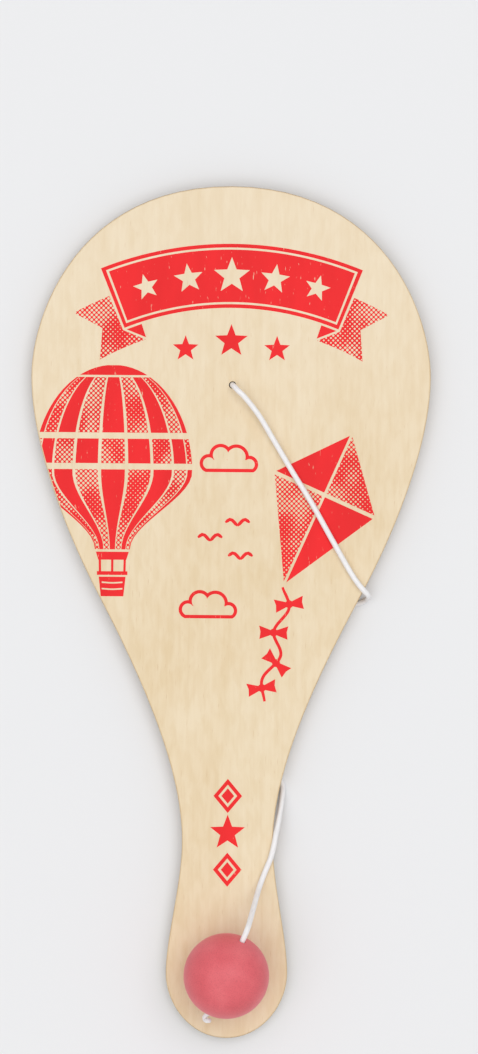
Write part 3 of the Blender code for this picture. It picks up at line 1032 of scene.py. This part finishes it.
def ribbon_tail(side, half, low, centre, radius):
    """A swallow tail beside the ribbon's middle and under it, cut clear of it and of the fold."""
    long, tall, notch, drop = 0.0210, 0.0175, 0.0062, 0.0028
    tail = grid(12, 2)
    bpy.ops.object.mode_set(mode="EDIT")
    bpy.ops.mesh.select_all(action="SELECT")
    bpy.ops.transform.resize(value=(long, tall, 1), center_override=(0, 0, 0))
    bpy.ops.transform.translate(value=(side * (half + 0.0030), low + drop, 0))
    tip = half + 0.0134
    pick("verts", lambda v: abs(v.co.y - low - drop) < 1e-5 and side * v.co.x > tip)
    bpy.ops.transform.translate(value=(-side * notch, 0, 0))
    bpy.ops.object.mode_set(mode="OBJECT")
    arched(tail, centre, radius)
    inner, outer = half - 0.025, half + 0.0008
    beside = [(inner, 0.02), (outer, 0.02), (outer, low - 0.0005)]
    beside += [(half - 0.0074, low - 0.0069), (inner, low - 0.0069)]
    return less(thick(tail), [bent_panel(beside, side, radius)])


def bent_panel(corners, side, radius):
    """A panel on one side of the ribbon, its corners given along the arch and out from it."""
    turns = [(side * x / radius, radius + y) for x, y in corners]
    return panel([(r * math.sin(t) * 1000, ARCH_AT + r * math.cos(t) * 1000) for t, r in turns])


def banner(film, solid, halftone):
    """A swallow-tailed ribbon in an arch, solid with halftone tails, and a solid fold before each tail."""
    centre, radius = spot(0, ARCH_AT), 0.104
    wide, tall = 0.080, 0.0210
    half, low = wide / 2, -tall / 2
    middle = ribbon_middle(wide, tall, centre, radius)
    fold = [(half - 0.0064, low - 0.0007), (half - 0.0005, low - 0.0007), (half - 0.0064, low - 0.0053)]
    tails, folds = [], []
    for side in (-1, 1):
        tails.append(ribbon_tail(side, half, low, centre, radius))
        folds.append(bent_panel(fold, side, radius))
    printed("print_banner", [middle, *folds], film, solid)
    printed("print_banner_tails", tails, film, halftone)


def three_stars(film, solid):
    """Three stars over the ribbon, the middle one larger."""
    places = ((-15, 226.0, 0.0044), (0, 228.6, 0.0056), (15, 226.0, 0.0044))
    shapes = [star(spot(x, y), size) for x, y, size in places]
    printed("print_stars", shapes, film, solid)


def envelope_half(up):
    """How wide a balloon is at a height from 0 to 1: round above its widest place, drawn in below it."""
    widest_at, drawn_in = 0.42, 0.78
    if up > widest_at:
        t = (up - widest_at) / (1 - widest_at)
        return max(0.02, math.sqrt(max(0.0, 1 - t * t)))
    t = (widest_at - up) / widest_at
    return 1 - drawn_in * (3 * t * t - 2 * t**3)


def balloon(film, solid, halftone):
    """A hot-air balloon off the left edge: solid and halftone gores by turns, the other way in its belt."""
    middle, top, bottom, wide = -38.5, 220.5, 160.0, 26.0
    gores, across, rows = 9, 8, 30
    columns, crown = gores * across, 28
    belt, bare = range(14, 18), (13, 18)

    def box(top_half, top_y, low_half, low_y):
        """A panel about the balloon's middle, from its upper edge to its lower one."""
        upper = [(middle - top_half, top_y), (middle + top_half, top_y)]
        return panel([*upper, (middle + low_half, low_y), (middle - low_half, low_y)])

    parts = {}
    for wanted in (0, 1):
        envelope = grid(columns, rows)
        bpy.ops.object.mode_set(mode="EDIT")
        pick(
            "faces",
            lambda f, wanted=wanted: f.index // columns in bare
            or f.index // columns >= crown
            or f.index % columns % across == across - 1
            or (f.index % columns // across + (f.index // columns in belt)) % 2 != wanted,
        )
        bpy.ops.mesh.delete(type="FACE")
        bpy.ops.object.mode_set(mode="OBJECT")
        for v in envelope.data.vertices:
            turn = (v.co.x + 0.5 / columns) * math.pi * 0.985
            up = v.co.y + 0.5
            v.co = spot(middle + wide * envelope_half(up) * math.sin(turn), bottom + (top - bottom) * up)
        parts[wanted] = thick(envelope)
    rise = [0.945, 0.958, 0.972, 0.984, 0.993, 0.998]
    edge = [(wide * envelope_half(up), bottom + (top - bottom) * up) for up in rise]
    cap = panel([(middle + x, y) for x, y in edge] + [(middle - x, y) for x, y in reversed(edge)])
    skirt = box(5.4, 159.2, 4.6, 156.6)
    basket = box(4.4, 151.0, 3.7, 144.6)
    rim = box(5.0, 152.8, 5.0, 151.6)
    weave = []
    for y in (149.2, 147.1):
        weave.append(stroke([(middle - 3.4, y), (middle, y - 0.2), (middle + 3.4, y)], 0.5, 1.0))
    less(basket, weave)
    ropes = [stroke([(middle + s * 4.1, 157.2), (middle + s * 4.0, 152.2)], 0.75, 1.0) for s in (-1, 0, 1)]
    rigging = merged([skirt, rim, *ropes])
    printed("print_balloon", [parts[0], cap, rigging, basket], film, solid)
    printed("print_balloon_halftone", [parts[1]], film, halftone)


def turned_about(origin, turn, x, y):
    """A point of the artwork, given from an origin and turned about it."""
    return (
        origin[0] + x * math.cos(turn) - y * math.sin(turn),
        origin[1] + x * math.sin(turn) + y * math.cos(turn),
    )


def kite(film, solid, halftone):
    """A kite of four panels with a tail of bows."""
    centre, lean = (31.0, 178.5), math.radians(-24)
    top, right, bottom, left = (0, 22), (18.5, 0), (0, -33), (-18.5, 0)
    panels = {"solid": [], "halftone": []}
    for first, second, kind in (
        (top, right, "halftone"),
        (right, bottom, "solid"),
        (bottom, left, "halftone"),
        (left, top, "solid"),
    ):
        ends = [(0, 0), first, second]
        mid_x, mid_y = sum(x for x, _ in ends) / 3, sum(y for _, y in ends) / 3
        # Each panel is drawn in towards its middle, which leaves the kite's sticks unprinted
        ends = [(mid_x + (x - mid_x) * 0.93, mid_y + (y - mid_y) * 0.93) for x, y in ends]
        panels[kind].append(panel([turned_about(centre, lean, *end) for end in ends]))
    tail = [turned_about(centre, lean, 0, -33.4)]
    tail += [(19.6, 141.0), (14.6, 133.5), (17.0, 125.5), (11.0, 118.0), (11.8, 110.5)]
    parts = [stroke(tail, 1.0, 0.8)]
    line = spaced(smooth([spot(*point) for point in tail], 10), 0.0005)
    for share in (0.14, 0.40, 0.66, 0.90):
        k = round(share * (len(line) - 1))
        along = line[k + 1] - line[k - 1]
        where = (line[k].x * 1000, (line[k].y + LENGTH / 2) * 1000)
        across = math.atan2(along.y, along.x) + math.pi / 2
        for side in (-1, 1):
            bow = [(0.9, -0.8), (4.6, -2.2), (4.3, 0.2), (4.8, 2.2), (0.9, 0.8)]
            parts.append(panel([turned_about(where, across, side * x, y) for x, y in bow]))
        parts.append(disc(line[k], 0.0013))
    printed("print_kite", [*panels["solid"], merged(parts)], film, solid)
    printed("print_kite_halftone", panels["halftone"], film, halftone)


def puffs(x, y, size, inset):
    """A cloud's shape: round puffs on a flat base, drawn in all round by an inset in millimetres."""
    # Each puff's place from the cloud's middle and its radius, for a cloud of full size
    rounds = ((-8.2, 0.6, 3.8), (-3.4, 4.0, 4.6), (3.0, 3.2, 5.2), (8.4, 0.2, 3.6))
    shapes = [disc(spot(x + a * size, y + b * size), (r * size - inset) / 1000) for a, b, r in rounds]
    low, high = y - 3.0 * size + inset, y + 2 * size
    left, right = x - 9.5 * size + inset, x + 10.0 * size - inset
    shapes.append(panel([(left, low), (right, low), (right, high), (left, high)]))
    whole = merged(shapes)
    under = panel([(x - 30, low - 9), (x + 30, low - 9), (x + 30, low), (x - 30, low)])
    return less(whole, [under])


def clouds_and_birds(film, solid):
    """Two clouds in outline and three birds."""
    size, outline = 0.8, 1.1
    shapes = []
    for x, y in ((-0.5, 188), (-7, 140)):
        shapes.append(less(puffs(x, y, size, 0.0), [puffs(x, y, size, outline)]))
    for x, y in ((2.5, 168), (-6.5, 163), (3.5, 157)):
        left = stroke([(x - 4.0, y + 1.1), (x - 2.2, y + 2.1), (x, y)], 1.1, 0.5)
        right = stroke([(x, y), (x + 2.2, y + 2.1), (x + 4.0, y + 1.1)], 1.1, 0.5)
        shapes.append(merged([left, right]))
    printed("print_clouds_and_birds", shapes, film, solid)


def handle_column(film, solid):
    """A star between two lozenges down the handle, each lozenge with an unprinted line in it."""
    shapes = [star(spot(0, 67.3), 0.0060)]
    for y in (79.4, 55.2):
        ring = less(lozenge(spot(0, y), 0.0094, 0.0112), [lozenge(spot(0, y), 0.0062, 0.0074)])
        shapes += [ring, lozenge(spot(0, y), 0.0042, 0.0050)]
    printed("print_on_handle", shapes, film, solid)


def artwork(front_ply):
    """All that is printed on the face, in solid ink and in halftone."""
    solid = screen_ink("red_screen_ink", dots=False)
    halftone = screen_ink("red_halftone_ink", dots=True)
    film = printed_face(front_ply)
    banner(film, solid, halftone)
    three_stars(film, solid)
    balloon(film, solid, halftone)
    kite(film, solid, halftone)
    clouds_and_birds(film, solid)
    handle_column(film, solid)
    bpy.data.objects.remove(film)


def main():
    """Dresses the part, piece by piece, in the frame of its solids."""
    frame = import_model()
    camera_over_the_face()
    rubber_thread = white_elastic()
    wrapped, over_rim, free, first, last = elastic(rubber_thread)
    behind, ball_end = knots(rubber_thread)

    studio()
    bpy.ops.object.select_all(action="DESELECT")
    bpy.ops.mesh.primitive_plane_add(size=6.0, location=(0, 0, 0))
    floor = added("floor")
    floor.data.materials.append(pale_floor())

    birch, core = birch_veneer(), core_veneer()
    for node, mat in (("paddle_front_ply", birch), ("paddle_core_ply", core), ("paddle_back_ply", birch)):
        frame["nodes"][node].material_slots[0].material = mat
    moulded_ball(red_rubber())
    artwork(frame["nodes"]["paddle_front_ply"])


main()
